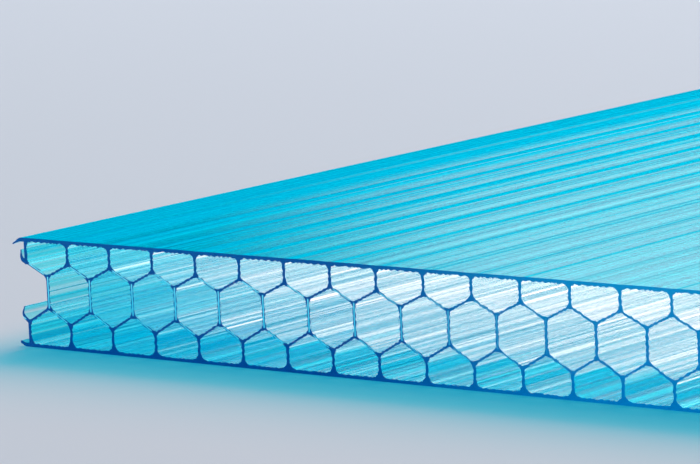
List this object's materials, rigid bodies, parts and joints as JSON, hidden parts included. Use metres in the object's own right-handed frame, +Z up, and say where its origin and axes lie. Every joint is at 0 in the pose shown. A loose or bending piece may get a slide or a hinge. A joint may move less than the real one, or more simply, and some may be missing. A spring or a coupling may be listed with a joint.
{
  "type": "polycarbonate honeycomb sheet",
  "caption": "Flat piece of tinted clear glazing sheet: rows of honeycomb flutes run lengthwise between thin skins, with sawn ends and a torn long side.",
  "frame": {"origin": "middle of the underside's bounding rectangle, on the surface that the sheet lies on", "axes": "+Y along the flutes, which is the longest extent; +Z up through the thickness; +X across the flutes, from the torn long side to the cut one"},
  "size_m": [0.0968, 0.15, 0.01],
  "materials": {
    "tinted_polycarbonate": "clear cyan-blue tint, glossy as extruded, with fine die lines along the flutes"
  },
  "bodies": {
    "root": {"honeycomb_sheet": "tinted_polycarbonate"}
  },
  "joints": []
}
